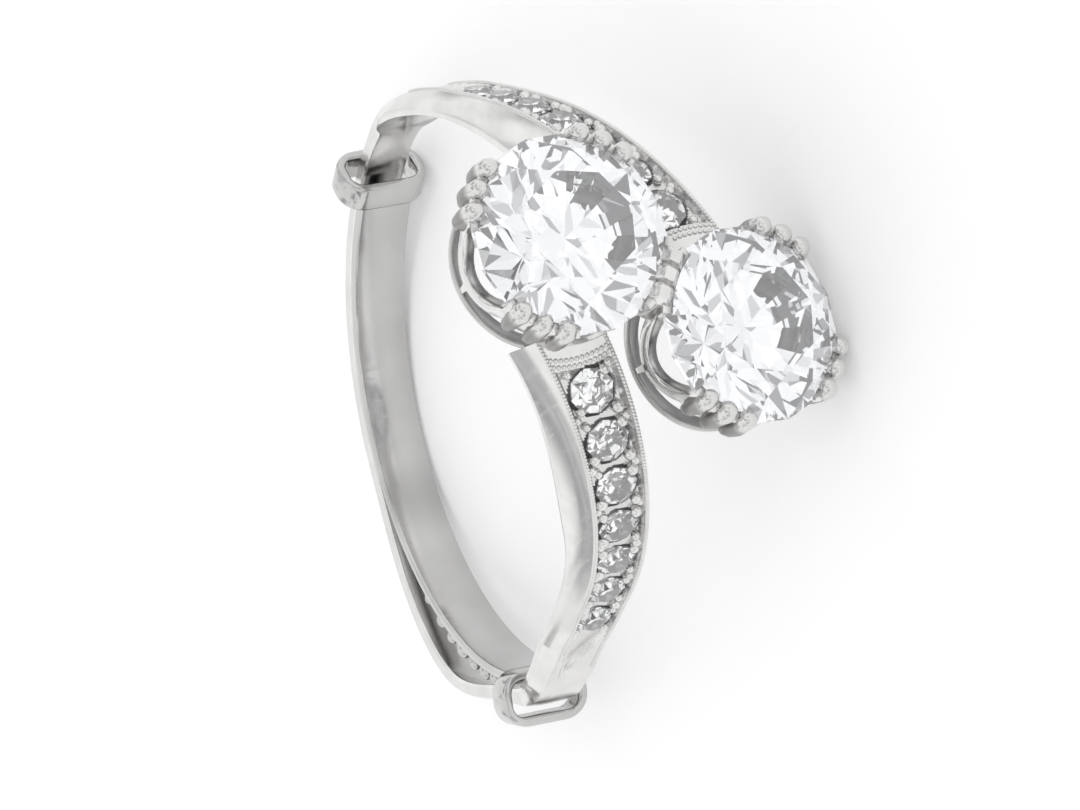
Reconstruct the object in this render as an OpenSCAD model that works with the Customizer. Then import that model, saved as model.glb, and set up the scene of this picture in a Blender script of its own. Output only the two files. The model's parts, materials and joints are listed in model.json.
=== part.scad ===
// Toi et moi crossover ring with two round stones, pierced claw collets,
// stone-set shoulders and a ring clip that narrows the finger hole.
// Millimetres. Modelled about the finger axis, then laid on its side to rest on z = 0.

/* [Shank] */

// Radius from the finger axis to the outside of the plain shank
shank_r = 9.85; // [9:0.05:11]
// Radial thickness of the plain shank
shank_t = 0.65; // [0.5:0.05:0.7]
// Width of the plain shank along the finger
shank_w = 1.4; // [1.2:0.05:1.5]
// How far the shank bows outwards behind the front collar
shank_bow = 1.1; // [0:0.05:1.2]

/* [Shoulders] */

// How far the outer face of the front shoulder dips inside the shank's circle
front_dip = 1.05; // [0.8:0.05:1.2]
// How far the outer face of the back shoulder dips inside the shank's circle
back_dip = 0.5; // [0.3:0.05:0.8]
// How far the outer face of a shoulder rises outside the shank's circle at the head
shoulder_rise = 1.65; // [1.3:0.05:1.9]
// Thickness of a shoulder where it is thinnest
shoulder_t = 0.85; // [0.75:0.05:0.95]
// Width of the outer face where it leaves the collar
shoulder_w = 1.4; // [1.35:0.05:1.5]
// Width of the outer face where it meets the head
shoulder_head_w = 2.3; // [2.1:0.05:2.6]
// How far a shoulder crosses over along the finger
shoulder_cross = 2.35; // [2.2:0.05:2.6]
// How far the front shoulder sways along the finger beside the collar
front_sway = 0.28; // [0:0.02:0.36]
// How much wider the inner side of a shoulder is than its outer face
shoulder_flare = 0.8; // [0.4:0.05:1]
// Width of the raised edge along each side of the stone channel
edge_w = 0.16; // [0.12:0.01:0.2]
// Depth of the stone channel
channel_d = 0.22; // [0.14:0.01:0.3]

/* [Shoulder stones] */

// Number of small stones in each shoulder
small_n = 7; // [5:1:7]
// Diameter of the small stone beside the head
small_d = 1.45; // [1.4:0.01:1.52]
// Diameter of the small stone beside the collar
small_end_d = 1.18; // [1:0.02:1.24]
// Space between the two small stones beside the head
small_gap = 0.2; // [0.14:0.01:0.24]
// Space between the two small stones beside the collar
small_end_gap = 0.36; // [0.2:0.02:0.44]

/* [Main stones] */

// Girdle diameter of the left stone
stone_left_d = 6.2; // [5.8:0.05:6.3]
// Girdle diameter of the right stone
stone_right_d = 6; // [5.6:0.05:6.2]
// Height of the girdles above the ends of the shoulders
girdle_rise = 1.6; // [1.4:0.05:1.8]
// Space between the two girdles
stones_apart = 0.18; // [0.15:0.01:0.4]
// Slant of the line through both stones, measured from the ring's height
stones_slant = 56; // [52:1:60]
// Outward lean of each stone
stone_lean = 5; // [3:0.5:6]
// Tip of the whole head towards the back of the finger
head_tip = 6.4; // [0:0.2:8]
// How far the head's middle lies off the shank's, along the finger
head_shift = 0.2; // [0:0.05:0.4]

/* [Collets] */

// Height of a collet from its base rail to the girdle
collet_h = 3.05; // [2.9:0.05:3.1]
// Thickness of the collet walls
collet_t = 0.42; // [0.36:0.01:0.5]
// How far the top of a collet stands out past the girdle
collet_out = 0.16; // [0.1:0.02:0.2]
// How much narrower a collet is at its base than at the top
collet_taper = 0.6; // [0.56:0.02:0.7]
// Height of the base rail
rail_h = 0.36; // [0.3:0.01:0.42]
// Width of the curved band under each scallop
band_w = 0.55; // [0.45:0.01:0.65]
// Radius of the ball at the end of a claw
claw_r = 0.37; // [0.32:0.01:0.4]
// Angle between neighbouring claws of a group of three
claw_step = 13.5; // [13:0.5:15]
// Height of a claw from the middle of its ball down into the collet wall
claw_l = 0.88; // [0.8:0.02:0.96]
// Width of each flat prong between the stones
prong_w = 0.58; // [0.5:0.02:0.6]
// Space between the flat prongs
prong_gap = 0.04; // [0.02:0.01:0.08]
// Height of the flat prongs above the girdles
prong_rise = 0.6; // [0.5:0.02:0.66]

/* [Ring clip] */

// Thickness of the clip band
clip_t = 0.34; // [0.26:0.02:0.36]
// Width of the clip band along the finger
clip_w = 1.7; // [1.5:0.05:1.8]
// How far the band's circle is set towards the head
clip_rise = 0.2; // [0.1:0.05:0.3]
// How far the band's circle is set towards the back shoulder
clip_side = 0; // [-0.05:0.05:0.15]
// Angle from the head to the back collar
collar_back = 121; // [114:1:124]
// Angle from the head to the front collar
collar_front = 107; // [104:1:114]
// Length of a collar along the shank
collar_l = 0.95; // [0.8:0.05:1.2]
// Wall thickness of a collar
collar_t = 0.32; // [0.26:0.02:0.38]

/* [Fit] */

// Clearance between a stone and the metal around it
stone_gap = 0.03; // [0.02:0.005:0.05]
// Least space between the shank and the clip band
band_gap = 0.14; // [0.12:0.02:0.3]
// Clearance between the outside of the shank and the clip collars
clip_gap = 0.16; // [0.12:0.01:0.2]
// Clearance between each side of the shank and the clip collars
side_gap = 0.4; // [0.3:0.05:0.5]

/* [Hidden] */

// The back shoulder lies at positive x, the front shoulder at negative x, the head at negative y.
head_end = 4.5;
shoulder_end = 100;
first_stone = 13;
steps = 44;

// Heights above the finger axis, and the clip band's inner radius.
shoulder_head_r = shank_r + shoulder_rise;
girdle_h = shoulder_head_r + girdle_rise;
clip_r = shank_r - shank_t - band_gap - clip_t;

// The middle of the head, the distance between the stones and the left stone's offset.
head_at = [0, -girdle_h, -head_shift];
pair = (stone_left_d + stone_right_d) / 2 + stones_apart;
left_at = [pair / 2 * cos(stones_slant), 0, pair / 2 * sin(stones_slant)];

// Scallops cut down into a collet between its claw groups.
scallop_z = -0.15;
scallop_r = 1.32;
scallop_k = 1.1;
// Top of the pierced openings under the claw groups.
pierced_top = -1.22;

// Shares of a stone's diameter.
table_k = 0.285;
crown_k = 0.145;
star_k = 0.4;
girdle_k = 0.025;
pavilion_k = 0.425;
lower_k = 0.125;

function clamp(v) = max(0, min(1, v));
function ease(v) = clamp(v) * clamp(v) * (3 - 2 * clamp(v));
function mix(a, b, v) = a + (b - a) * v;
function flip(faces) = [for (f = faces) [for (i = [len(f) - 1:-1:0]) f[i]]];

// Run along a shoulder: 0 at the collar end, 1 at the head.
function run(a) = (shoulder_end - a) / (shoulder_end - head_end);
// The hoop narrows from the collars to the shoulders, then rises to the head. The side is 1 at the
// front shoulder and -1 at the back one.
function dip(side) = side > 0 ? front_dip : back_dip;
function hoop_r(a, side) = shank_r - dip(side) * ease((112 - a) / 38);
function outer_r(a, side) = mix(hoop_r(a, side), shoulder_head_r, ease((run(a) - 0.34) / 0.72));
function inner_r(a, side) = mix(
    mix(hoop_r(a, side) - shank_t, shank_r - dip(side) - shoulder_t, ease(run(a) / 0.45)),
    shank_r, ease((run(a) - 0.6) / 0.45));
function half_w(a) = mix(shoulder_w, shoulder_head_w, pow(clamp(run(a)), 1.7)) / 2;
function swing(a, side) = shoulder_cross * pow(clamp((run(a) - 0.2) / 0.8), side > 0 ? 2.25 : 1.9)
    + (side > 0 ? front_sway * pow(sin(180 * clamp((collar_front - a) / 60)), 2) : 0);
function flare(a) = shoulder_flare / 2 * mix(1, 0.6, clamp(run(a)));
function channel(a) = a < head_end + 2.5 ? 0.02
    : 0.02 + (channel_d - 0.02) * ease((shoulder_end - 14 - a) / 7);

// Point at angle a from the head, radius r and position z along the finger.
function at(a, r, z) = [r * sin(a), -r * cos(a), z];

function shoulder_section(t, a, side) = let (o = outer_r(a, side), i = inner_r(a, side),
    w = half_w(a), c = side * swing(a, side), e = min(edge_w, w * 0.23), d = channel(a), f = flare(a))
    [at(t, i, c - w - f), at(t, i + 0.3, c - w - f), at(t, o, c - w), at(t, o, c - w + e),
    at(t, o - d, c - w + e), at(t, o - d, c + w - e), at(t, o, c + w - e), at(t, o, c + w),
    at(t, i + 0.3, c + w + f), at(t, i, c + w + f)];

// The shank bows outwards behind the front collar.
function bow(t) = let (u = (t - 180) / (175 - collar_front))
    shank_bow * ease(u / 0.6) * ease((1 - u) / 0.4);
// The outer face is domed, and flattens towards the shoulders.
function dome(a) = 0.2 * ease((a - shoulder_end) / 14);
// The inner side loses the shoulder's flare before the front collar.
function splay(a) = shoulder_flare / 2 * ease((collar_front - 2 - a) / 5);
function shank_section(t) = let (a = min(t, 360 - t), o = hoop_r(a, t - 180) + bow(t), i = o - shank_t,
    w = shank_w / 2, k = dome(a), f = splay(a))
    [at(t, i, -w - f + 0.08), at(t, i + 0.08, -w - f), at(t, o - k - 0.01, -w),
    at(t, o - k / 4, -w * 0.6), at(t, o, -w * 0.2), at(t, o, w * 0.2), at(t, o - k / 4, w * 0.6),
    at(t, o - k - 0.01, w), at(t, i + 0.08, w + f), at(t, i, w + f - 0.08)];

// Angle t runs from the head down the back shoulder, round the shank and up the front shoulder.
function hoop_section(t) = t < shoulder_end ? shoulder_section(t, t, -1)
    : t > 360 - shoulder_end ? shoulder_section(t, 360 - t, 1) : shank_section(t);

// Closed skin through a row of sections with the same number of points.
module skin(sections) {
    n = len(sections[0]);
    m = len(sections);
    points = [for (s = sections) each s];
    first = [for (j = [0:n - 1]) n - 1 - j];
    last = [for (j = [0:n - 1]) (m - 1) * n + j];
    sides = [for (i = [0:m - 2], j = [0:n - 1], k = [0:1]) let (a = i * n + j,
        b = i * n + (j + 1) % n, c = a + n, d = b + n)
        k == 0 ? [a, b, d] : [a, d, c]];
    polyhedron(points, concat([first, last], sides), convexity = 8);
}

module hoop() {
    back = [for (i = [0:steps - 1]) mix(head_end, shoulder_end, i / steps)];
    behind = [for (i = [0:steps]) mix(shoulder_end, 360 - shoulder_end, i / steps)];
    front = [for (i = [1:steps]) mix(360 - shoulder_end, 360 - head_end, i / steps)];
    skin([for (t = concat(back, behind, front)) hoop_section(t)]);
}

// Local frame of a stone: z points out of the head and x towards the other stone.
module stone_frame(left) {
    translate(head_at)
        rotate([head_tip, 0, 0])
            translate(left ? left_at : -left_at)
                rotate([90, 0, 0])
                    rotate([0, 0, left ? 180 + stones_slant : stones_slant])
                        rotate([0, -stone_lean, 0])
                            children();
}

// Brilliant cut stone with its girdle on z = 0.
module brilliant(d, grow) {
    r = d / 2 + grow;
    t = table_k * d + grow / 2;
    c = crown_k * d + grow;
    m = star_k * d + grow;
    g = girdle_k * d + grow;
    p = pavilion_k * d + grow;
    l = lower_k * d + grow / 2;
    mz = c * (r - m * cos(22.5)) / (r - t);
    lz = -g - p + p * l * cos(22.5) / r;
    points = concat([for (k = [0:7]) [t * cos(45 * k), t * sin(45 * k), c]],
        [for (k = [0:7]) [m * cos(45 * k + 22.5), m * sin(45 * k + 22.5), mz]],
        [for (k = [0:15]) [r * cos(22.5 * k), r * sin(22.5 * k), 0]],
        [for (k = [0:15]) [r * cos(22.5 * k), r * sin(22.5 * k), -g]],
        [for (k = [0:7]) [l * cos(45 * k + 22.5), l * sin(45 * k + 22.5), lz]],
        [[0, 0, -g - p]]);
    stars = [for (k = [0:7]) [k, 8 + k, (k + 1) % 8]];
    kites = [for (k = [0:7]) [k, 8 + (k + 7) % 8, 16 + 2 * k, 8 + k]];
    uppers = [for (k = [0:7], h = [0:1])
        [8 + k, 16 + 2 * k + h, 16 + (2 * k + h + 1) % 16]];
    girdle = [for (k = [0:15]) [16 + k, 32 + k, 32 + (k + 1) % 16, 16 + (k + 1) % 16]];
    lowers = [for (k = [0:7], h = [0:1])
        [48 + k, 32 + (2 * k + h + 1) % 16, 32 + 2 * k + h]];
    mains = [for (k = [0:7]) [56, 48 + k, 32 + 2 * k, 48 + (k + 7) % 8]];
    table = [[for (k = [0:7]) k]];
    polyhedron(points, flip(concat(table, stars, kites, uppers, girdle, lowers, mains)));
}

// Single cut stone: a table, eight crown facets, a girdle and eight pavilion facets.
module single_cut(d, grow) {
    r = d / 2 + grow;
    t = 0.3 * d;
    ring = [for (k = [0:7]) [cos(45 * k), sin(45 * k)]];
    points = concat([for (q = ring) [t * q[0], t * q[1], 0.14 * d + grow]],
        [for (q = ring) [r * q[0], r * q[1], 0]],
        [for (q = ring) [r * q[0], r * q[1], -0.05 * d]],
        [[0, 0, -0.42 * d - grow]]);
    crown = [for (k = [0:7]) [k, 8 + k, 8 + (k + 1) % 8, (k + 1) % 8]];
    girdle = [for (k = [0:7]) [8 + k, 16 + k, 16 + (k + 1) % 8, 8 + (k + 1) % 8]];
    base = [for (k = [0:7]) [16 + k, 24, 16 + (k + 1) % 8]];
    table = [[for (k = [0:7]) k]];
    polyhedron(points, flip(concat(table, crown, girdle, base)));
}

// Small stones graduate from the head towards the collar.
function small_size(i) = mix(small_d, small_end_d, i / (small_n - 1));
function small_space(i) = mix(small_gap, small_end_gap, i / (small_n - 1));
function small_step(i) = (small_size(i - 1) + small_size(i)) / 2 + small_space(i);
function small_at(i, side) = i == 0 ? first_stone
    : small_at(i - 1, side) + small_step(i) / outer_r(small_at(i - 1, side), side) * 57.3;

module small_frame(i, side) {
    a = small_at(i, side);
    r = outer_r(a, side);
    slope = atan2(outer_r(a - 2, side) - outer_r(a + 2, side), 4 * r / 57.3);
    lean = atan2(swing(a + 2, side) - swing(a - 2, side), 4 * r / 57.3);
    translate(at(a, r - channel(a) + 0.06, swing(a, side)))
        rotate([90, 0, 0])
            rotate([0, a, 0])
                rotate([0, slope, 0])
                    rotate([0, 0, lean])
                        children();
}

module small_stone(i, side) {
    if (i < small_n)
        color("aliceblue")
            lay()
                turned(side)
                    small_frame(i, side)
                        single_cut(small_size(i), 0);
}

// Front pieces lie at negative x, back pieces at positive x.
module turned(side) {
    if (side < 0) {
        mirror([0, 0, 1])
            children();
    } else {
        mirror([1, 0, 0])
            children();
    }
}

module collet(d) {
    r = d / 2 + collet_out;
    difference() {
        translate([0, 0, -collet_h])
            cylinder(h = collet_h + 0.1, r1 = r - collet_taper, r2 = r, $fn = 56);
        translate([0, 0, -collet_h - 0.1])
            cylinder(h = collet_h + 0.4, r1 = r - collet_taper - collet_t,
                r2 = r - collet_t + 0.03, $fn = 56);
        // Round scallops between the claw groups.
        for (k = [0:3])
            rotate([0, 0, 45 + 90 * k])
                translate([r, 0, scallop_z])
                    scale([1, 1, scallop_k])
                        rotate([0, 90, 0])
                            cylinder(h = 3, r = scallop_r, center = true, $fn = 30);
        // Pierced openings under the claw groups, above the base rail.
        for (k = [0:3])
            rotate([0, 0, 90 * k])
                translate([r, 0, 0])
                    rotate([90, 0, 90])
                        linear_extrude(3, center = true)
                            pierced(r);
    }
}

// Opening under a claw group, bounded by the curved bands on either side.
function pierced_w(r, z) = let (v = (z - scallop_z) / (scallop_k * scallop_r + band_w))
    0.68 * r - (scallop_r + band_w) * sqrt(max(0, 1 - v * v));

module pierced(r) {
    heights = [for (i = [0:4]) mix(rail_h - collet_h, pierced_top, i / 4)];
    right = [for (z = heights) [pierced_w(r, z), z]];
    left = [for (i = [4:-1:0]) [-pierced_w(r, heights[i]), heights[i]]];
    polygon(concat(right, left));
}

module ball(r, size) {
    translate([r[0], 0, r[1]])
        rotate([0, 0, 11])
            sphere(size, $fn = 14);
}

// One claw: a finger rising from the collet wall with a ball at its end.
module claw(d, a) {
    rotate([0, 0, a])
        hull() {
            ball([d / 2 + claw_r * 0.05, claw_r * 0.43], claw_r);
            ball([d / 2 + claw_r * 0.3, claw_r * 0.43 - claw_l], claw_r * 0.8);
        }
}

module claws(d) {
    for (g = [90, 180, 270], k = [-1:1])
        claw(d, g + k * claw_step);
}

// Three bevelled prongs between the stones hold both of them.
module shared_claw(k) {
    translate([pair / 2, k * (prong_w + prong_gap), prong_rise])
        hull() {
            translate([0, 0, -0.08])
                cube([stones_apart + 0.24, prong_w * 0.76, 0.16], center = true);
            translate([0, 0, -prong_rise * 1.5])
                cube([stones_apart + 0.68, prong_w, prong_rise * 2.4], center = true);
        }
}

module mount_metal() {
    hoop();
    stone_frame(true) {
        collet(stone_left_d);
        claws(stone_left_d);
    }
    stone_frame(false) {
        collet(stone_right_d);
        claws(stone_right_d);
    }
    stone_frame(true)
        rotate([0, stone_lean, 0])
            for (k = [-1:1])
                shared_claw(k);
}

module ring_mount() {
    color("gainsboro")
        lay()
            difference() {
                mount_metal();
                stone_frame(true)
                    brilliant(stone_left_d, stone_gap);
                stone_frame(false)
                    brilliant(stone_right_d, stone_gap);
                for (side = [-1, 1], i = [0:small_n - 1])
                    turned(side)
                        small_frame(i, side)
                            single_cut(small_size(i), stone_gap);
            }
}

module stone_left() {
    color("aliceblue")
        lay()
            stone_frame(true)
                brilliant(stone_left_d, 0);
}

module stone_right() {
    color("aliceblue")
        lay()
            stone_frame(false)
                brilliant(stone_right_d, 0);
}

// Centre of the clip band's circle.
clip_at = [clip_side, -clip_rise, 0];
corner_r = 0.8;
collar_high = shank_r + clip_gap + collar_t;
collar_half = shank_w / 2 + side_gap + collar_t;
function clip_in(a) = clip_r + clip_at[0] * sin(a) - clip_at[1] * cos(a);

module clip_band() {
    a0 = collar_back;
    a1 = 360 - collar_front;
    translate(clip_at)
        rotate([0, 0, a0 - 90])
            rotate_extrude(angle = a1 - a0, $fn = 160)
                translate([clip_r, -clip_w / 2])
                    square([clip_t, clip_w]);
}

// Oval collar round the shank and the end of the band, drawn across the shank.
module collar_outline(low, high, half, r) {
    hull()
        for (y = [-1, 1], x = [low + r, high - r])
            translate([x, y * (half - r)])
                circle(r, $fn = 28);
}

module collar(a) {
    low = clip_in(a) - 0.08;
    half = collar_half;
    high = collar_high;
    rotate([0, 0, a - 90])
        rotate([90, 0, 0])
            linear_extrude(collar_l, center = true)
                difference() {
                    collar_outline(low, high, half, corner_r);
                    collar_outline(low + collar_t, high - collar_t, half - collar_t, corner_r * 0.4);
                }
}

module ring_clip() {
    color("silver")
        lay() {
            clip_band();
            collar(collar_back);
            collar(-collar_front);
        }
}

// The ring lies on its side on three points: the back of the shank, the back collar
// and a claw of the right stone.
function turn_x(p, a) = [p[0], p[1] * cos(a) - p[2] * sin(a), p[1] * sin(a) + p[2] * cos(a)];
function turn_y(p, a) = [p[0] * cos(a) + p[2] * sin(a), p[1], p[2] * cos(a) - p[0] * sin(a)];
function turn_z(p, a) = [p[0] * cos(a) - p[1] * sin(a), p[0] * sin(a) + p[1] * cos(a), p[2]];
function from_right(p) = head_at
    + turn_x(turn_x(turn_z(turn_y(p, -stone_lean), stones_slant), 90) - left_at, head_tip);
foot_shank = at(169, shank_r - 0.21, -shank_w / 2);
foot_collar = at(collar_back + 28.6 * collar_l / shank_r, collar_high - corner_r * 0.85,
    corner_r * 0.009 - collar_half);
foot_r = stone_right_d / 2 + claw_r * 0.3;
foot_z = claw_r * 0.43 - claw_l;
foot_claw = from_right([foot_r * cos(180 + claw_step), foot_r * sin(180 + claw_step), foot_z])
    + claw_r * 0.8 * [0.05, 0.22, -0.97];

function unit(v) = v / norm(v);
up = unit(cross(foot_claw - foot_shank, foot_collar - foot_shank));
along = unit([1, 0, 0] - up * up[0]);
across = cross(up, along);
// Where the finger axis meets the surface the ring lies on, and that point's place
// when the outline is centred on the origin.
axis_drop = (up * foot_shank) / up[2];
middle = [0.1054, 1.5347];

module lay() {
    multmatrix([[along[0], along[1], along[2], middle[0]],
        [across[0], across[1], across[2], middle[1]], [up[0], up[1], up[2], 0], [0, 0, 0, 1]])
        translate([0, 0, -axis_drop])
            children();
}

ring_mount();
ring_clip();
stone_left();
stone_right();
small_stone(0, 1);  // small_front_1
small_stone(1, 1);  // small_front_2
small_stone(2, 1);  // small_front_3
small_stone(3, 1);  // small_front_4
small_stone(4, 1);  // small_front_5
small_stone(5, 1);  // small_front_6
small_stone(6, 1);  // small_front_7
small_stone(0, -1);  // small_back_1
small_stone(1, -1);  // small_back_2
small_stone(2, -1);  // small_back_3
small_stone(3, -1);  // small_back_4
small_stone(4, -1);  // small_back_5
small_stone(5, -1);  // small_back_6
small_stone(6, -1);  // small_back_7
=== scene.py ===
import json
from math import asin, cos, degrees, hypot, pi, radians, sin, sqrt
import bmesh
import bpy
from mathutils import Matrix, Vector


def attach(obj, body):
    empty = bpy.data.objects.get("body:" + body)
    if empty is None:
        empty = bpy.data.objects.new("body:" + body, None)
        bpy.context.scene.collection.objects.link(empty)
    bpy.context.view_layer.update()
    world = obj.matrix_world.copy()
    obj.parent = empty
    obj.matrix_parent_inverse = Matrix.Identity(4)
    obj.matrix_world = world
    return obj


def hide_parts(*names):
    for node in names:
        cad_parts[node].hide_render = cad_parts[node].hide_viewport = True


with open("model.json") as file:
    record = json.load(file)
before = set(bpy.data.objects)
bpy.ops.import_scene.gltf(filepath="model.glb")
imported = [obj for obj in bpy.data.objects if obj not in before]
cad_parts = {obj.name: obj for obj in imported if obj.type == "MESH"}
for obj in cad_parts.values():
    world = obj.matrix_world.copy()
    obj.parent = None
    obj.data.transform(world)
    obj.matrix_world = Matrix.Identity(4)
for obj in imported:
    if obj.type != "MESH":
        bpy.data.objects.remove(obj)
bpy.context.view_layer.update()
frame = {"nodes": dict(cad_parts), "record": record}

# Where the ring lies
# The ring lies on its side, on the back of its shank, one collar and one claw. Its own frame has the
# hoop's centre at the origin, z along the finger, -y up through the head and x towards the back
# shoulder. Lengths here are millimetres in that frame, and lay_down puts a point in its place.
hole = next(m for m in frame["record"]["mounts"] if m["name"] == "finger_hole")
hoop_centre = Vector(hole["pos_m"])
finger_way = Vector(hole["axis"]).normalized()


def node_middle(node):
    corners = frame["nodes"][node].data.vertices
    return sum((v.co for v in corners), Vector()) / len(corners)


to_head = (node_middle("stone_left") + node_middle("stone_right")) / 2 - hoop_centre
back_way = (finger_way * to_head.dot(finger_way) - to_head).normalized()
side_way = back_way.cross(finger_way)
turned = Matrix((side_way, back_way, finger_way)).transposed()
lay_down = Matrix.Translation(hoop_centre) @ turned.to_4x4() @ Matrix.Scale(0.001, 4)


# Shank and shoulders
# One forged hoop of white metal. Two crossing shoulders taper away from the head to the plain
# shank, and each has a channel cut along its outer face for seven small stones.

# The plain shank. Angles along the hoop are degrees from the middle of the head.
shank_radius = 9.85
shank_thick = 0.65
shank_width = 1.4
shank_bow = 1.1
bow_angle = 68
bow_climb = 0.6
dome_drop = 0.21
front_dip = 1.05
back_dip = 0.5
dip_start = 112
dip_length = 38

# The shoulders. Each start and length of a rise or crossing is a share of the way to the head.
shoulder_rise = 1.65
rise_start = 0.34
rise_length = 0.72
thin_length = 0.45
lift_start = 0.6
shoulder_thin = 0.85
shoulder_width = 1.4
shoulder_head_width = 2.3
widening = 1.7
shoulder_cross = 2.35
cross_start = 0.2
front_curl = 2.25
back_curl = 1.9
shoulder_flare = 0.8
flare_start = 105
flare_length = 5
front_sway = 0.28
sway_start = 107
sway_length = 60
collar_angles = {"back": 121, "front": -107}
head_end = 4.5
shoulder_end = 100

# The channels, and the wall that ends each of them under its collet.
rim_width = 0.13
channel_depth = 0.22
channel_slope = 0.1
channel_shut = 73
shut_length = 15
shut_share = 0.8
shut_offset = 0.45
corner_size = 0.07
foot_bevel = 0.3
face_points = 31
side_points = 8
end_wall_radius = 3.5
end_wall_depth = 1.7

# Where the main stones and the small stones sit in the head and the channels.
left_size = 6.2
right_size = 6.0
girdle_height = 13.1
stones_apart = 0.18
stones_between = (left_size + right_size) / 2 + stones_apart
stones_slant = radians(56)
stone_lean = radians(5)
head_tip = radians(6.4)
head_shift = 0.2
small_count = 7
small_first = 1.45
small_last = 1.18
small_gap = 0.2
small_end_gap = 0.36
first_turn = 13.0
seat_clearance = 0.035
seat_floor = 0.22
girdle_share = 0.05
pavilion_share = 0.4
degrees_of_arc = 57.3


def clamp(v):
    return max(0.0, min(1.0, v))


def ease(v):
    return clamp(v) ** 2 * (3 - 2 * clamp(v))


def mix(a, b, v):
    return a + (b - a) * v


def run(a):
    return (shoulder_end - a) / (shoulder_end - head_end)


def dip(side):
    return front_dip if side > 0 else back_dip


def hoop_radius(a, side):
    return shank_radius - dip(side) * ease((dip_start - a) / dip_length)


def outer_radius(a, side):
    climb = ease((run(a) - rise_start) / rise_length)
    return mix(hoop_radius(a, side), shank_radius + shoulder_rise, climb)


def inner_radius(a, side):
    thin = shank_radius - dip(side) - shoulder_thin
    lower = mix(hoop_radius(a, side) - shank_thick, thin, ease(run(a) / thin_length))
    return mix(lower, shank_radius, ease((run(a) - lift_start) / thin_length))


def half_width(a):
    return mix(shoulder_width, shoulder_head_width, clamp(run(a)) ** widening) / 2


def swing(a, side):
    curl = front_curl if side > 0 else back_curl
    crossing = shoulder_cross * clamp((run(a) - cross_start) / (1 - cross_start)) ** curl
    sway = front_sway * sin(pi * clamp((sway_start - a) / sway_length)) ** 2 if side > 0 else 0
    return crossing + sway


def ring_point(t, r, z):
    return Vector((r * sin(radians(t)), -r * cos(radians(t)), z))


# The frame of a main stone: z points out of the head and x towards the other stone.
def stone_place(side):
    spot = Vector((cos(stones_slant), 0, sin(stones_slant))) * side * stones_between / 2
    return (Matrix.Translation((0, -girdle_height, -head_shift)) @ Matrix.Rotation(head_tip, 4, "X")
            @ Matrix.Translation(spot) @ Matrix.Rotation(pi / 2, 4, "X")
            @ Matrix.Rotation(stones_slant + (pi if side > 0 else 0), 4, "Z")
            @ Matrix.Rotation(-stone_lean, 4, "Y"))


def end_wall_middle(side):
    return stone_place(side) @ Vector((0, 0, -end_wall_depth))


def end_wall_distance(t, r, z, side):
    spot = end_wall_middle(side)
    return hypot(r * sin(radians(t)) - spot.x, z - spot.z)


def small_size(i):
    return mix(small_first, small_last, i / (small_count - 1))


def small_angles(side):
    turns = [first_turn]
    for i in range(1, small_count):
        gap = mix(small_gap, small_end_gap, i / (small_count - 1))
        step = (small_size(i - 1) + small_size(i)) / 2 + gap
        turns.append(turns[-1] + step / outer_radius(turns[-1], side) * degrees_of_arc)
    return turns


# Depth of a stone's seat under the outer face, at angle a and height z along the finger.
def seat_depth(a, z, side):
    deepest = 0
    for i, turn in enumerate(small_angles(side)):
        size = small_size(i)
        edge = size / 2 + seat_clearance
        along = radians(a - turn) * outer_radius(turn, side)
        away = hypot(along, z - swing(turn, side))
        if away < edge:
            cone = (1 - away / edge) * pavilion_share * size
            deepest = max(deepest, seat_floor + girdle_share * size + cone)
    return deepest


def soften(corner, before, after, size):
    corner, before, after = Vector(corner), Vector(before), Vector(after)
    to_before = (before - corner).normalized() * size
    to_after = (after - corner).normalized() * size
    return [corner + to_before, corner + (to_before + to_after) * 0.3, corner + to_after]


# The channel narrows to a point beside the collar. 1 on its floor, 0 on its edges.
def channel_floor(a, z, side):
    shut = ease((a - channel_shut) / shut_length)
    half = (half_width(a) - rim_width) * (1 - shut_share * shut)
    return clamp((half - abs(z * side - shut_offset * half_width(a) * shut)) / channel_slope)


def shoulder_section(t):
    a = min(t, 360 - t)
    side = 1 if t > 180 else -1
    outer = outer_radius(a, side)
    inner = inner_radius(a, side)
    half = half_width(a)
    middle = swing(a, side)
    foot = half + shoulder_flare / 2 * mix(1, 0.6, clamp(run(a)))
    depth = mix(0.01, channel_depth, ease((shoulder_end - 8 - a) / 10))
    thickest = outer - inner - 0.06
    bevel = inner + foot_bevel
    left = soften((inner, -foot), (inner, 0), (bevel, -foot), corner_size)
    left += [Vector((bevel, -foot)), Vector((mix(bevel, outer, 0.5), -mix(foot, half, 0.5)))]
    left += soften((outer, -half), (inner, -foot), (outer, 0), corner_size * 0.6)
    right = [Vector((p.x, -p.y)) for p in reversed(left)]
    face = []
    for j in range(face_points):
        z = (half - corner_size) * (j / (face_points - 1) * 2 - 1)
        wall = end_wall_distance(t, outer, side * middle + z, side)
        low = depth * min(channel_floor(a, z, side), ease((wall - end_wall_radius) / 0.12))
        if a < shoulder_end - 10:
            low = max(low, min(thickest, seat_depth(a, side * z + middle, side)))
        face.append(Vector((outer - low, z)))
    return [ring_point(t, p.x, side * middle + p.y) for p in left + face + right]


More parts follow.
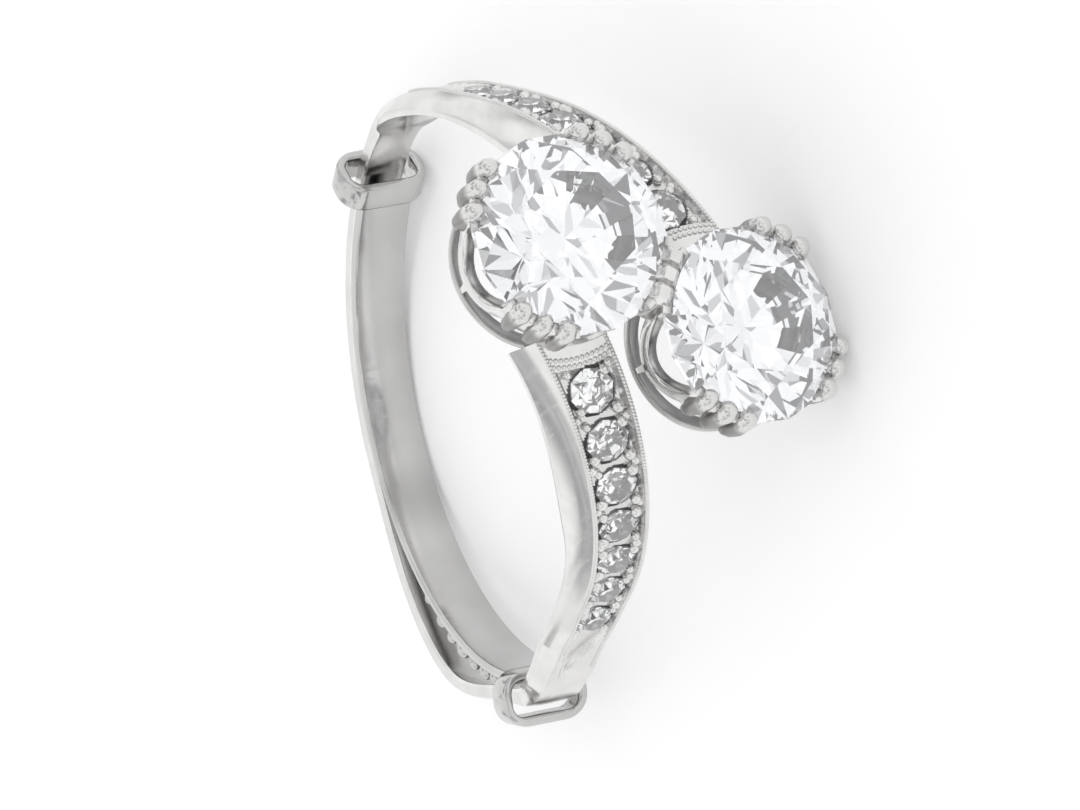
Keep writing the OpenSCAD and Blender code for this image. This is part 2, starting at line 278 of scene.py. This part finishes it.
def shank_section(t):
    a = min(t, 360 - t)
    u = (t - 180) / bow_angle
    bow = shank_bow * ease(u / bow_climb) * ease((1 - u) / (1 - bow_climb))
    outer = hoop_radius(a, t - 180) + bow
    inner = outer - shank_thick
    half = shank_width / 2
    foot = half + shoulder_flare / 2 * ease((flare_start - a) / flare_length)
    drop = dome_drop * ease((a - shoulder_end) / 14) + 0.005
    left = soften((inner, -foot), (inner, 0), (inner + 0.08, -foot), corner_size)
    left += [Vector((mix(inner, outer - drop, k), -mix(foot, half, k))) for k in (0.3, 0.5, 0.7, 0.85, 1)]
    right = [Vector((p.x, -p.y)) for p in reversed(left)]
    dome = []
    for j in range(face_points):
        v = (half - 0.01) * (j / (face_points - 1) * 2 - 1)
        dome.append(Vector((outer - drop * (v / half) ** 2, v)))
    return [ring_point(t, p.x, p.y) for p in left + dome + right]


def hoop_section(t):
    blend = ease((min(t, 360 - t) - shoulder_end + 6) / 6)
    if blend == 0:
        return shoulder_section(t)
    if blend == 1:
        return shank_section(t)
    return [p.lerp(q, blend) for p, q in zip(shoulder_section(t), shank_section(t))]


def skin(rows, closed=False):
    around = len(rows[0])
    faces = []
    for i in range(len(rows) - (0 if closed else 1)):
        for j in range(around):
            a = i * around + j
            b = i * around + (j + 1) % around
            shift = around if i < len(rows) - 1 else -i * around
            faces.append((a, b, b + shift, a + shift))
    if not closed:
        last = (len(rows) - 1) * around
        faces += [tuple(range(around)), tuple(last + j for j in range(around))]
    return [p for row in rows for p in row], faces


def make_piece(name, points, faces, material, sharp=38):
    mesh = bpy.data.meshes.new(name)
    mesh.from_pydata([lay_down @ p for p in points], [], faces)
    build = bmesh.new()
    build.from_mesh(mesh)
    bmesh.ops.recalc_face_normals(build, faces=build.faces)
    build.to_mesh(mesh)
    build.free()
    mesh.polygons.foreach_set("use_smooth", [True] * len(mesh.polygons))
    mesh.set_sharp_from_angle(angle=radians(sharp))
    mesh.materials.append(material)
    piece = bpy.data.objects.new(name, mesh)
    bpy.context.scene.collection.objects.link(piece)
    return piece


def new_node(tree, kind, values=(), **settings):
    node = tree.nodes.new(kind)
    for key, value in settings.items():
        setattr(node, key, value)
    for key, value in dict(values).items():
        node.inputs[key].default_value = value
    return node


# Handling marks shared by all the metal: cloudy polish, hairline scratches and fine grain.
def wear_group():
    group = bpy.data.node_groups.new("handling_wear", "ShaderNodeTree")
    inputs = (("Cloud size", 900), ("Scratch size", 2600), ("Scratch depth", 0.5), ("Grain", 0.3))
    for name, value in inputs:
        socket = group.interface.new_socket(name=name, in_out="INPUT", socket_type="NodeSocketFloat")
        socket.default_value = value
    for name in ("Cloud", "Scratch", "Height"):
        group.interface.new_socket(name=name, in_out="OUTPUT", socket_type="NodeSocketFloat")
    start = group.nodes.new("NodeGroupInput")
    end = group.nodes.new("NodeGroupOutput")
    place = group.nodes.new("ShaderNodeTexCoord")
    cloud = new_node(group, "ShaderNodeTexNoise", {"Detail": 4.0, "Roughness": 0.6})
    stretch = new_node(group, "ShaderNodeMapping", {"Scale": (1.0, 0.12, 0.12), "Rotation": (0.5, 0.9, 0.3)})
    hair = new_node(group, "ShaderNodeTexNoise", {"Detail": 6.0, "Roughness": 0.75, "Distortion": 0.4})
    line = new_node(group, "ShaderNodeMapRange", {"From Min": 0.56, "From Max": 0.66})
    grain = new_node(group, "ShaderNodeTexNoise", {"Scale": 26000.0, "Detail": 2.0})
    soft_cloud = new_node(group, "ShaderNodeMapRange", {"From Min": 0.35, "From Max": 0.68})
    deep = new_node(group, "ShaderNodeMath", operation="MULTIPLY")
    grainy = new_node(group, "ShaderNodeMath", operation="MULTIPLY")
    height = new_node(group, "ShaderNodeMath", operation="SUBTRACT")
    link = group.links.new
    link(place.outputs["Object"], cloud.inputs["Vector"])
    link(place.outputs["Object"], stretch.inputs["Vector"])
    link(place.outputs["Object"], grain.inputs["Vector"])
    link(stretch.outputs["Vector"], hair.inputs["Vector"])
    link(start.outputs["Cloud size"], cloud.inputs["Scale"])
    link(start.outputs["Scratch size"], hair.inputs["Scale"])
    link(hair.outputs["Fac"], line.inputs["Value"])
    link(cloud.outputs["Fac"], soft_cloud.inputs["Value"])
    link(line.outputs["Result"], deep.inputs[0])
    link(start.outputs["Scratch depth"], deep.inputs[1])
    link(grain.outputs["Fac"], grainy.inputs[0])
    link(start.outputs["Grain"], grainy.inputs[1])
    link(grainy.outputs["Value"], height.inputs[0])
    link(deep.outputs["Value"], height.inputs[1])
    link(soft_cloud.outputs["Result"], end.inputs["Cloud"])
    link(line.outputs["Result"], end.inputs["Scratch"])
    link(height.outputs["Value"], end.inputs["Height"])
    return group


handling_wear = wear_group()


def white_metal(name, bright, dark_stain_and_shade, gloss, matt, marks, relief=0.000004):
    material = bpy.data.materials.new(name)
    material.use_nodes = True
    tree = material.node_tree
    shader = tree.nodes["Principled BSDF"]
    shader.inputs["Metallic"].default_value = 1.0
    wear = new_node(tree, "ShaderNodeGroup", node_tree=handling_wear)
    for key, value in marks.items():
        wear.inputs[key].default_value = value
    # A painted shade attribute darkens the colour and dulls the polish where shade and dark reflections
    # fall; the faint cloud is the metal's real uneven tone.
    painted_shade = new_node(tree, "ShaderNodeAttribute", attribute_name="painted_shade")
    stain_and_shade = new_node(tree, "ShaderNodeMath", operation="MAXIMUM")
    colour = new_node(tree, "ShaderNodeMix", {"A": (*bright, 1), "B": (*dark_stain_and_shade, 1)}, data_type="RGBA")
    faint = new_node(tree, "ShaderNodeMath", operation="MULTIPLY")
    faint.inputs[1].default_value = 0.16
    polish = new_node(tree, "ShaderNodeMapRange", {"To Min": gloss, "To Max": matt})
    bump = new_node(tree, "ShaderNodeBump", {"Strength": 0.5, "Distance": relief})
    link = tree.links.new
    link(wear.outputs["Cloud"], faint.inputs[0])
    link(faint.outputs["Value"], stain_and_shade.inputs[0])
    link(painted_shade.outputs["Fac"], stain_and_shade.inputs[1])
    link(stain_and_shade.outputs["Value"], colour.inputs["Factor"])
    link(stain_and_shade.outputs["Value"], polish.inputs["Value"])
    link(colour.outputs["Result"], shader.inputs["Base Color"])
    link(polish.outputs["Result"], shader.inputs["Roughness"])
    link(wear.outputs["Height"], bump.inputs["Height"])
    link(bump.outputs["Normal"], shader.inputs["Normal"])
    return material


# Stores painted shade on a piece's points, for the metal to read.
def set_painted_shade(piece, values):
    painted_shade = piece.data.attributes.new("painted_shade", "FLOAT", "POINT")
    painted_shade.data.foreach_set("value", values)


mount_metal = white_metal("mount_white_metal", (0.77, 0.765, 0.755), (0.22, 0.215, 0.21), 0.15, 0.42,
                          {"Cloud size": 700.0, "Scratch depth": 0.6, "Grain": 0.35})

# Close steps over the channels, where the seats are, and wider ones round the plain shank.
angles = [head_end + 0.25 * k for k in range(326)]
angles += [86 + k for k in range(15)]
angles += [102 + 2 * k for k in range(40)]
angles += [360 - t for t in reversed(angles[:-1])]
hoop_points, hoop_faces = skin([hoop_section(t) for t in angles])
hoop = make_piece("hoop", hoop_points, hoop_faces, mount_metal)
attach(hoop, "root")
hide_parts("ring_mount")

# Painted shade in the seats under the stones, and a fainter painted shade on the channel's floor between
# them.
seat_shade = 0.75
channel_floor_shade = 0.16


def hoop_painted_shade():
    values = []
    for t in angles:
        a = min(t, 360 - t)
        side = 1 if t > 180 else -1
        for j in range(-side_points, face_points + side_points):
            if a > shoulder_end - 10 or not 0 <= j < face_points:
                values.append(0.0)
                continue
            z = (half_width(a) - corner_size) * (j / (face_points - 1) * 2 - 1)
            wall = end_wall_distance(t, outer_radius(a, side), side * swing(a, side) + z, side)
            inside = channel_floor(a, z, side) * ease((wall - end_wall_radius) / 0.1)
            seated = seat_depth(a, side * z + swing(a, side), side) > 0
            values.append((seat_shade if seated else channel_floor_shade) * inside)
    return values


set_painted_shade(hoop, hoop_painted_shade())

# Millegrain
# Rows of tiny beads rolled along both edges of each channel with a knurling wheel, and a double
# row of larger ones across its head end, following the collet above it.
edge_bead = 0.072
edge_pitch = 0.118
wall_bead = 0.088
wall_pitch = 0.172
wall_rows = (3.21, 3.40)


def bead_shape(detail):
    shape = bmesh.new()
    bmesh.ops.create_icosphere(shape, subdivisions=detail, radius=1.0)
    points = [v.co.copy() for v in shape.verts]
    faces = [tuple(v.index for v in f.verts) for f in shape.faces]
    shape.free()
    return points, faces


def bead_string(places, detail=2):
    shape, sides = bead_shape(detail)
    points = []
    faces = []
    for spot, size, stretch in places:
        first = len(points)
        points += [spot + Vector((p.x * size, p.y * size, p.z * size * stretch)) for p in shape]
        faces += [tuple(first + k for k in side) for side in sides]
    return points, faces


def pace_out(path, pitch):
    spots = [path[0]]
    left = pitch
    for a, b in zip(path, path[1:]):
        step = (b - a).length
        while step >= left:
            a = a.lerp(b, left / step)
            step = (b - a).length
            spots.append(a)
            left = pitch
        left -= step
    return spots


def channel_edge(side, way):
    spots = []
    for k in range(400):
        a = mix(head_end + 0.6, shoulder_end - 14, k / 399)
        t = 360 - a if side > 0 else a
        z = side * swing(a, side) + way * (half_width(a) - rim_width * 0.55)
        spots.append(ring_point(t, outer_radius(a, side) - 0.012, z))
    return spots


def end_wall_row(side, radius):
    spot = end_wall_middle(side)
    spots = []
    for k in range(-60, 61):
        x = spot.x - side * radius * cos(radians(k))
        z = spot.z + radius * sin(radians(k))
        a = degrees(asin(min(1, abs(x) / (shank_radius + shoulder_rise))))
        if abs(z - side * swing(a, side)) < half_width(a) - rim_width:
            spots.append(Vector((x, -sqrt(outer_radius(a, side) ** 2 - x * x) + 0.03, z)))
    return spots


for side, name in ((1, "front"), (-1, "back")):
    beads = []
    for way in (-1, 1):
        beads += [(p, edge_bead, 1.15) for p in pace_out(channel_edge(side, way), edge_pitch)]
    for radius in wall_rows:
        beads += [(p, wall_bead, 1.0) for p in pace_out(end_wall_row(side, radius), wall_pitch)]
    millegrain = make_piece("millegrain_" + name, *bead_string(beads), mount_metal, 180)
    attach(millegrain, "root")
    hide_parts("ring_mount")

# Setting grains
# Each small stone is held by grains of metal raised with a graver at its corners and pushed over
# its edge. They are round, uneven, and shared by neighbouring stones.
grain_size = 0.15
grain_sunk = 0.15
corner_grain = 0.125
corner_sunk = 0.13
corner_along = 0.395
corner_across = 0.41
corners_of_stone = ((-1, -1), (-1, 1), (1, -1), (1, 1))


def grains(side):
    spots = []
    turns = small_angles(side)
    ends = [turns[0] - 4.3] + [(a + b) / 2 for a, b in zip(turns, turns[1:])] + [turns[-1] + 4.2]
    for i, a in enumerate(ends):
        t = 360 - a if side > 0 else a
        for way in (-1, 1):
            bead = grain_size * (1 + 0.14 * sin(9 * i + 3 * way))
            z = side * swing(a, side) + way * (half_width(a) - rim_width - bead * 0.9)
            spot = ring_point(t + 0.5 * sin(5 * i + way), outer_radius(a, side) - grain_sunk, z)
            spots.append((spot, bead, 1.0))
    for i, turn in enumerate(turns):
        size = small_size(i)
        for k, (along, way) in enumerate(corners_of_stone):
            bead = corner_grain * size * (1 + 0.2 * sin(7 * i + 4 * k))
            reach = corner_along * size + 0.02 * sin(3 * i + k)
            a = turn + along * reach / outer_radius(turn, side) * degrees_of_arc
            z = swing(a, side) + way * min(corner_across * size, half_width(a) - rim_width - 0.03)
            t = 360 - a if side > 0 else a
            spots.append((ring_point(t, outer_radius(a, side) - corner_sunk, side * z), bead, 1.0))
    return spots


for side, name in ((1, "front"), (-1, "back")):
    grain = make_piece("grains_" + name, *bead_string(grains(side), 3), mount_metal, 180)
    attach(grain, "root")
    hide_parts("ring_mount")

# Collets
# Each main stone sits in an open cone of white metal. Its upper edge is scalloped into four curved
# bands between the claw groups, over a thin base rail, and it is pierced under each claw group.
collet_height = 3.05
collet_top = 0.1
collet_out = 0.16
collet_wall = 0.42
collet_taper = 0.6
rail_height = 0.36
rail_top = rail_height - collet_height
band_width = 0.55
scallop_level = -0.15
scallop_wide = 1.32
scallop_deep = 1.45
opening_top = -1.22
post_half = 0.1
# Painted shade on the inner faces of the collet walls and rails, and a lighter painted shade on the rails'
# outer faces.
collet_inside_shade = 0.65
rail_outside_shade = 0.45


def collet_radius(size, z):
    down = clamp((collet_top - z) / (collet_height + collet_top))
    return size / 2 + collet_out - collet_taper * down


def collet_row(place, size, angle, low, high, corner=0.1):
    corners = []
    for r, z in ((-1, low), (0, low), (0, high), (-1, high)):
        outside = collet_radius(size, z)
        corners.append(Vector((outside + r * collet_wall, z)))
    section = []
    for k in range(4):
        section += soften(corners[k], corners[k - 1], corners[(k + 1) % 4], min(corner, (high - low) * 0.3))
    return [place @ Vector((p.x * cos(angle), p.x * sin(angle), p.y)) for p in section]


def wall_edges(size, angle):
    radius = size / 2 + collet_out
    across = radius * pi / 4 - radius * abs((angle + pi / 4) % (pi / 2) - pi / 4)
    top = collet_top
    if across < scallop_wide:
        top = scallop_level - scallop_deep * sqrt(1 - (across / scallop_wide) ** 2)
    bottom = opening_top
    outer = scallop_wide + band_width
    if across < post_half:
        bottom = rail_top
    elif across < outer:
        bottom = min(bottom, scallop_level - (scallop_deep + band_width) * sqrt(1 - (across / outer) ** 2))
    return bottom, top


def wall_angles(size):
    radius = size / 2 + collet_out
    turns = []
    for k in range(4):
        middle = pi / 4 + k * pi / 2
        swept = [scallop_wide * -cos(pi * j / 40) / radius for j in range(41) if j not in (19, 20, 21)]
        swept = sorted(swept + [v / radius for v in (-0.13, -0.09, 0.09, 0.13)])
        start = scallop_wide / radius + 0.004
        plain = [mix(start, pi / 2 - start, j / 12) for j in range(13)]
        turns += [middle + v for v in swept + plain]
    return turns


for side, name, size in ((1, "left", left_size), (-1, "right", right_size)):
    place = stone_place(side)
    wall_sections = [collet_row(place, size, v, *wall_edges(size, v)) for v in wall_angles(size)]
    wall = make_piece("collet_" + name, *skin(wall_sections, closed=True), mount_metal, 50)
    rail_sections = [collet_row(place, size, 2 * pi * k / 96, -collet_height, rail_top, 0.08)
                     for k in range(96)]
    rail = make_piece("base_rail_" + name, *skin(rail_sections, closed=True), mount_metal, 50)
    # Paint shade on the inner faces of each piece, and on the rail's outer faces too.
    for part, outside in ((wall, 0.0), (rail, rail_outside_shade)):
        set_painted_shade(part, [collet_inside_shade if k % 12 < 3 or k % 12 > 8 else outside
                        for k in range(len(part.data.vertices))])
        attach(part, "root")
        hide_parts("ring_mount")

# Claws
# Three groups of three claws hold the outer sides of each stone. Each is a round wire soldered to
# the collet, leaning in over the stone's edge, with a ball worked at its end.
claw_ball = 0.36
claw_step = radians(13.5)
claw_dent = 0.12
ball_out = 0.02
ball_height = 0.15
# Painted shade on the claws: light at the balls, deepening down the wires into the clefts at the collet.
claw_top_tone = 0.15
claw_cleft_shade = 0.65

# The wire under the ball: distance outside the stone's edge, height, and thickness as a share of it.
claw_wire = ((0.06, -0.16, 0.87), (0.09, -0.42, 0.84), (0.09, -0.75, 0.76), (0.02, -1.12, 0.5))


# knock turns the dents of each claw another way.
def claw(place, size, angle, knock):
    edge = size / 2
    ball = claw_ball * (0.965 + 0.035 * sin(knock))
    spine = [(edge + ball_out, ball_height, ball)]
    spine += [(edge + out, height, claw_ball * share) for out, height, share in claw_wire]
    rings = []
    for k in range(8):
        turn = pi / 2 * k / 8
        rings.append((spine[0][0] - 0.06 * cos(turn) * ball, spine[0][1] + cos(turn) * ball,
                      max(0.01, sin(turn) * ball)))
    for (r0, z0, w0), (r1, z1, w1) in zip(spine, spine[1:]):
        for k in range(4):
            rings.append((mix(r0, r1, k / 4), mix(z0, z1, k / 4), mix(w0, w1, ease(k / 4))))
    rings.append(spine[-1])
    rows = []
    for r, z, w in rings:
        row = []
        for k in range(24):
            turn = 2 * pi * k / 24
            dent = 1 - claw_dent * (1 + sin(2 * turn + knock) * cos(5 * z + 2 * knock)) / 2
            dent -= claw_dent / 3 * (1 + sin(5 * turn - knock) * sin(9 * z + knock)) / 2
            out = r + w * dent * cos(turn)
            over = w * dent * sin(turn)
            x = out * cos(angle) - over * sin(angle)
            y = out * sin(angle) + over * cos(angle)
            row.append(place @ Vector((x, y, z)))
        rows.append(row)
    return skin(rows)


def join_shapes(shapes):
    points = []
    faces = []
    for shape_points, shape_faces in shapes:
        first = len(points)
        points += shape_points
        faces += [tuple(first + k for k in face) for face in shape_faces]
    return points, faces


for side, name, size in ((1, "left", left_size), (-1, "right", right_size)):
    place = stone_place(side)
    spots = [pi / 2 * g + k * claw_step for g in (1, 2, 3) for k in (-1, 0, 1)]
    shapes = [claw(place, size, v, 2.4 * k + side) for k, v in enumerate(spots)]
    claws = make_piece("claws_" + name, *join_shapes(shapes), mount_metal, 60)
    heights = [(place.inverted() @ p).z for p in join_shapes(shapes)[0]]
    # Painted shade by height below the ball.
    set_painted_shade(claws, [claw_top_tone + claw_cleft_shade * ease((0.12 - z) / 0.4) for z in heights])
    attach(claws, "root")
    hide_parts("ring_mount")

# Shared prongs
# Three square prongs stand where the collets meet and hold both stones at once. Their tops are
# filed into flat bevels, one facing each stone.
prong_pitch = 0.62

# Each level's height, half length towards the stones and half width.
prong_levels = ((-1.1, 0.43, 0.29), (0.12, 0.43, 0.28), (0.30, 0.36, 0.26), (0.50, 0.17, 0.20))


def shared_prong(place, k):
    middle = place @ Matrix.Translation((stones_between / 2, k * prong_pitch, collet_top))
    rows = []
    for z, x, y in prong_levels:
        corners = [Vector((x, y)), Vector((-x, y)), Vector((-x, -y)), Vector((x, -y))]
        ring = []
        for j in range(4):
            ring += soften(corners[j], corners[j - 1], corners[(j + 1) % 4], 0.045)
        rows.append([middle @ Vector((p.x, p.y, z)) for p in ring])
    return skin(rows)


level_place = stone_place(1) @ Matrix.Rotation(stone_lean, 4, "Y")
prong_shapes = [shared_prong(level_place, k) for k in (-1, 0, 1)]
prongs = make_piece("shared_prongs", *join_shapes(prong_shapes), mount_metal, 25)
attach(prongs, "root")
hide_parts("ring_mount")

# Main stones
# Two round brilliant cut diamonds, held point down in the collets. Their solids carry the table,
# star, kite and girdle facets and the pavilion, so they stay and get the stone itself.


def diamond(name, clear, tint, cloudy, painted_glow):
    material = bpy.data.materials.new(name)
    material.use_nodes = True
    tree = material.node_tree
    shader = tree.nodes["Principled BSDF"]
    shader.inputs["Transmission Weight"].default_value = 1.0
    shader.inputs["IOR"].default_value = 2.417
    shader.inputs["Roughness"].default_value = 0.0
    # A faint painted glow in the stone, which lightens its darkest facets.
    shader.inputs["Emission Color"].default_value = (0.97, 0.98, 1, 1)
    shader.inputs["Emission Strength"].default_value = painted_glow
    place = new_node(tree, "ShaderNodeTexCoord")
    cloud = new_node(tree, "ShaderNodeTexNoise", {"Scale": cloudy, "Detail": 3.0})
    colour = new_node(tree, "ShaderNodeMix", {"A": (*clear, 1), "B": (*tint, 1)}, data_type="RGBA")
    tree.links.new(place.outputs["Object"], cloud.inputs["Vector"])
    tree.links.new(cloud.outputs["Fac"], colour.inputs["Factor"])
    tree.links.new(colour.outputs["Result"], shader.inputs["Base Color"])
    return material


main_diamond = diamond("main_diamond", (0.91, 0.915, 0.93), (0.85, 0.86, 0.88), 500.0, 0.03)
for name in ("stone_left", "stone_right"):
    stone = frame["nodes"][name]
    stone.data.materials.clear()
    stone.data.materials.append(main_diamond)

# Shoulder stones
# Seven small old-cut diamonds in each channel, the largest beside the head. Each is set down in its
# own drilled seat, under the grains that were raised round it.
small_diamond = diamond("small_diamond", (1, 1, 1), (0.90, 0.91, 0.93), 900.0, 0.025)
for row in ("front", "back"):
    for i in range(small_count):
        stone = frame["nodes"]["small_%s_%d" % (row, i + 1)]
        stone.data.materials.clear()
        stone.data.materials.append(small_diamond)

# Ring clip
# A second, springy half band inside the shank makes the finger hole smaller. It is bent from flat
# strip, and an oval collar soldered to each of its ends slides on the shank.
clip_radius = 8.72
clip_thick = 0.34
clip_width = 1.7
clip_shift = Vector((0, -0.2, 0))
collar_length = 0.95
collar_wall = 0.32
collar_half = 1.42
collar_sunk = 0.08
collar_corner = 0.8
collar_clear = 0.16
collar_high = shank_radius + collar_clear + collar_wall
# A painted dark reflection across the band: strongest at this angle along the hoop, fading to nothing the
# given reach away on either side.
dark_reflection_angle = 189
dark_reflection_reach = 11.25
dark_reflection_depth = 0.3

clip_metal = white_metal("clip_white_metal", (0.58, 0.575, 0.57), (0.17, 0.168, 0.165), 0.12, 0.34,
                         {"Cloud size": 420.0, "Scratch depth": 0.9, "Grain": 0.2})


def clip_row(t):
    inner, outer, half = clip_radius, clip_radius + clip_thick, clip_width / 2
    corners = [Vector((inner, -half)), Vector((outer, -half)), Vector((outer, half)), Vector((inner, half))]
    section = []
    for k in range(4):
        section += soften(corners[k], corners[k - 1], corners[(k + 1) % 4], 0.07)
    return [clip_shift + ring_point(t, p.x, p.y) for p in section]


clip_angles = [mix(collar_angles["back"], 360 + collar_angles["front"], k / 110) for k in range(111)]
clip_band = make_piece("clip_band", *skin([clip_row(t) for t in clip_angles]), clip_metal)
# The painted dark reflection, stored as painted shade on the band's points.
dark_reflection_share = [clamp(1 - abs(t - dark_reflection_angle) / dark_reflection_reach) for t in clip_angles]
set_painted_shade(clip_band, [dark_reflection_depth * sin(share * pi / 2) ** 2 for share in dark_reflection_share for k in range(12)])
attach(clip_band, "root")
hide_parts("ring_clip")


def oval(low, high, half, corner):
    ring = []
    for x, y, turn in ((high, half, 0), (low, half, 1), (low, -half, 2), (high, -half, 3)):
        middle = Vector((x - corner * (1 if x == high else -1), y - corner * (1 if y > 0 else -1)))
        for k in range(11):
            v = pi / 2 * (turn + k / 10)
            ring.append(middle + Vector((cos(v), sin(v))) * corner)
    return ring


def collar_row(t, low, inset, lift):
    corner = collar_corner - 1.3 * inset
    outline = oval(low + inset, collar_high - inset, collar_half - inset, corner)
    return [ring_point(t, p.x, p.y) + lift * ring_point(t + 90, 1, 0) for p in outline]


for name, t in collar_angles.items():
    clip_inside = clip_radius + clip_shift.x * sin(radians(t)) - clip_shift.y * cos(radians(t))
    end = collar_length / 2
    # How far each edge lies inside the collar's outer face, and along the shank.
    profile = [(0.0, -end + 0.12), (0.0, end - 0.12), (0.035, end - 0.035), (0.12, end),
               (collar_wall - 0.1, end), (collar_wall - 0.03, end - 0.03), (collar_wall, end - 0.1),
               (collar_wall, 0.1 - end), (collar_wall - 0.03, 0.03 - end), (collar_wall - 0.1, -end),
               (0.12, -end), (0.035, 0.035 - end)]
    rows = [collar_row(t, clip_inside - collar_sunk, inset, lift) for inset, lift in profile]
    collar = make_piece("clip_collar_" + name, *skin(rows, closed=True), clip_metal, 50)
    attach(collar, "root")
    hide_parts("ring_clip")

# Solder
# A few rough lumps of solder were left on the outside of the band, where the clip has been eased
# towards the shank beside its front collar.

# Each lump's angle, distance from the band, and radius.
lump_places = ((211, 0.10, 0.20), (217, 0.16, 0.26), (222, 0.2, 0.22), (226.5, 0.22, 0.28),
               (232, 0.22, 0.22), (236.5, 0.2, 0.27), (241, 0.16, 0.24))
lumps = []
for turn, out, size in lump_places:
    spot = clip_shift + ring_point(turn, clip_radius + clip_thick + out, clip_width / 2 - size)
    lumps.append((spot, size, 0.9))
solder = make_piece("solder_lumps", *bead_string(lumps), clip_metal, 180)
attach(solder, "root")
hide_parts("ring_clip")

# Floor
# A plain white table top under the ring, of matt coated board. It is only the stage, and no piece of
# the ring is fixed to it.
floor_half = 0.9
floor_glow = 0.16
floor_mesh = bpy.data.meshes.new("floor")
floor_corners = [(x * floor_half, y * floor_half, 0) for x, y in ((-1, -1), (1, -1), (1, 1), (-1, 1))]
floor_mesh.from_pydata(floor_corners, [], [(0, 1, 2, 3)])
floor = bpy.data.objects.new("floor", floor_mesh)
bpy.context.scene.collection.objects.link(floor)
floor_white = bpy.data.materials.new("floor_white")
floor_white.use_nodes = True
paper = floor_white.node_tree
paper_shader = paper.nodes["Principled BSDF"]
paper_shader.inputs["Roughness"].default_value = 0.7
paper_shader.inputs["Emission Color"].default_value = (1, 1, 1, 1)
paper_shader.inputs["Emission Strength"].default_value = floor_glow
tooth_place = new_node(paper, "ShaderNodeTexCoord")
tooth = new_node(paper, "ShaderNodeTexNoise", {"Scale": 900.0, "Detail": 3.0})
paper_colour = new_node(paper, "ShaderNodeMix", {"A": (0.93, 0.93, 0.93, 1), "B": (0.96, 0.96, 0.96, 1)},
                        data_type="RGBA")
paper.links.new(tooth_place.outputs["Object"], tooth.inputs["Vector"])
paper.links.new(tooth.outputs["Fac"], paper_colour.inputs["Factor"])
paper.links.new(paper_colour.outputs["Result"], paper_shader.inputs["Base Color"])
floor_mesh.materials.append(floor_white)

# Studio light
# A white tent all round. Its cloth hangs in soft grey folds, which give the polished metal and the
# facets something to reflect.
world = bpy.data.worlds.new("tent")
bpy.context.scene.world = world
world.use_nodes = True
sky = world.node_tree
tent = sky.nodes["Background"]
tent.inputs["Strength"].default_value = 1.12
direction = new_node(sky, "ShaderNodeTexCoord").outputs["Generated"]
folds = new_node(sky, "ShaderNodeTexNoise", {"Scale": 3.4, "Detail": 1.5, "Distortion": 0.8})
cloth = new_node(sky, "ShaderNodeMix", {"A": (0.25, 0.25, 0.26, 1), "B": (1, 1, 1, 1)}, data_type="RGBA")
shade = new_node(sky, "ShaderNodeMapRange", {"From Min": 0.34, "From Max": 0.48},
                 interpolation_type="SMOOTHSTEP")
sky.links.new(direction, folds.inputs["Vector"])
sky.links.new(folds.outputs["Fac"], shade.inputs["Value"])
sky.links.new(shade.outputs["Result"], cloth.inputs["Factor"])
sky.links.new(cloth.outputs["Result"], tent.inputs["Color"])

# Camera
# It looks at the head from the front left, 23.5 degrees above the hoop's plane, with the finger
# pointing left in the picture. The lens is long, so the ring shows almost without perspective. The
# hoop's middle lies hoop_across and hoop_down pixels into the picture, at picture_scale to a millimetre.
view_turn = radians(-10)
view_rise = radians(23.5)
view_tilt = radians(10.5)
picture_wide = 1080
picture_high = 810
hoop_across = 498.5
hoop_down = 389
picture_scale = 32.85
camera_distance = 333.3
centre_right = (picture_wide / 2 - hoop_across) / picture_scale
centre_up = (hoop_down - picture_high / 2) / picture_scale

toward = Vector((sin(view_turn) * cos(view_rise), -cos(view_turn) * cos(view_rise), sin(view_rise)))
finger = Vector((0, 0, 1))
level = (toward * finger.dot(toward) - finger).normalized()
rising = toward.cross(level)
to_right = level * cos(view_tilt) - rising * sin(view_tilt)
to_top = level * sin(view_tilt) + rising * cos(view_tilt)
aim = to_right * centre_right + to_top * centre_up
axes = [turned @ v for v in (to_right, to_top, toward)]
camera_data = bpy.data.cameras.new("camera")
camera_data.sensor_width = 36
camera_data.lens = 36 / picture_wide * picture_scale * camera_distance
camera_data.clip_start = 0.01
camera_data.clip_end = 10
camera = bpy.data.objects.new("camera", camera_data)
camera.matrix_world = (Matrix.Translation(lay_down @ (aim + toward * camera_distance))
                       @ Matrix(axes).transposed().to_4x4())
bpy.context.scene.collection.objects.link(camera)
bpy.context.scene.camera = camera
bpy.context.scene.view_settings.view_transform = "Standard"
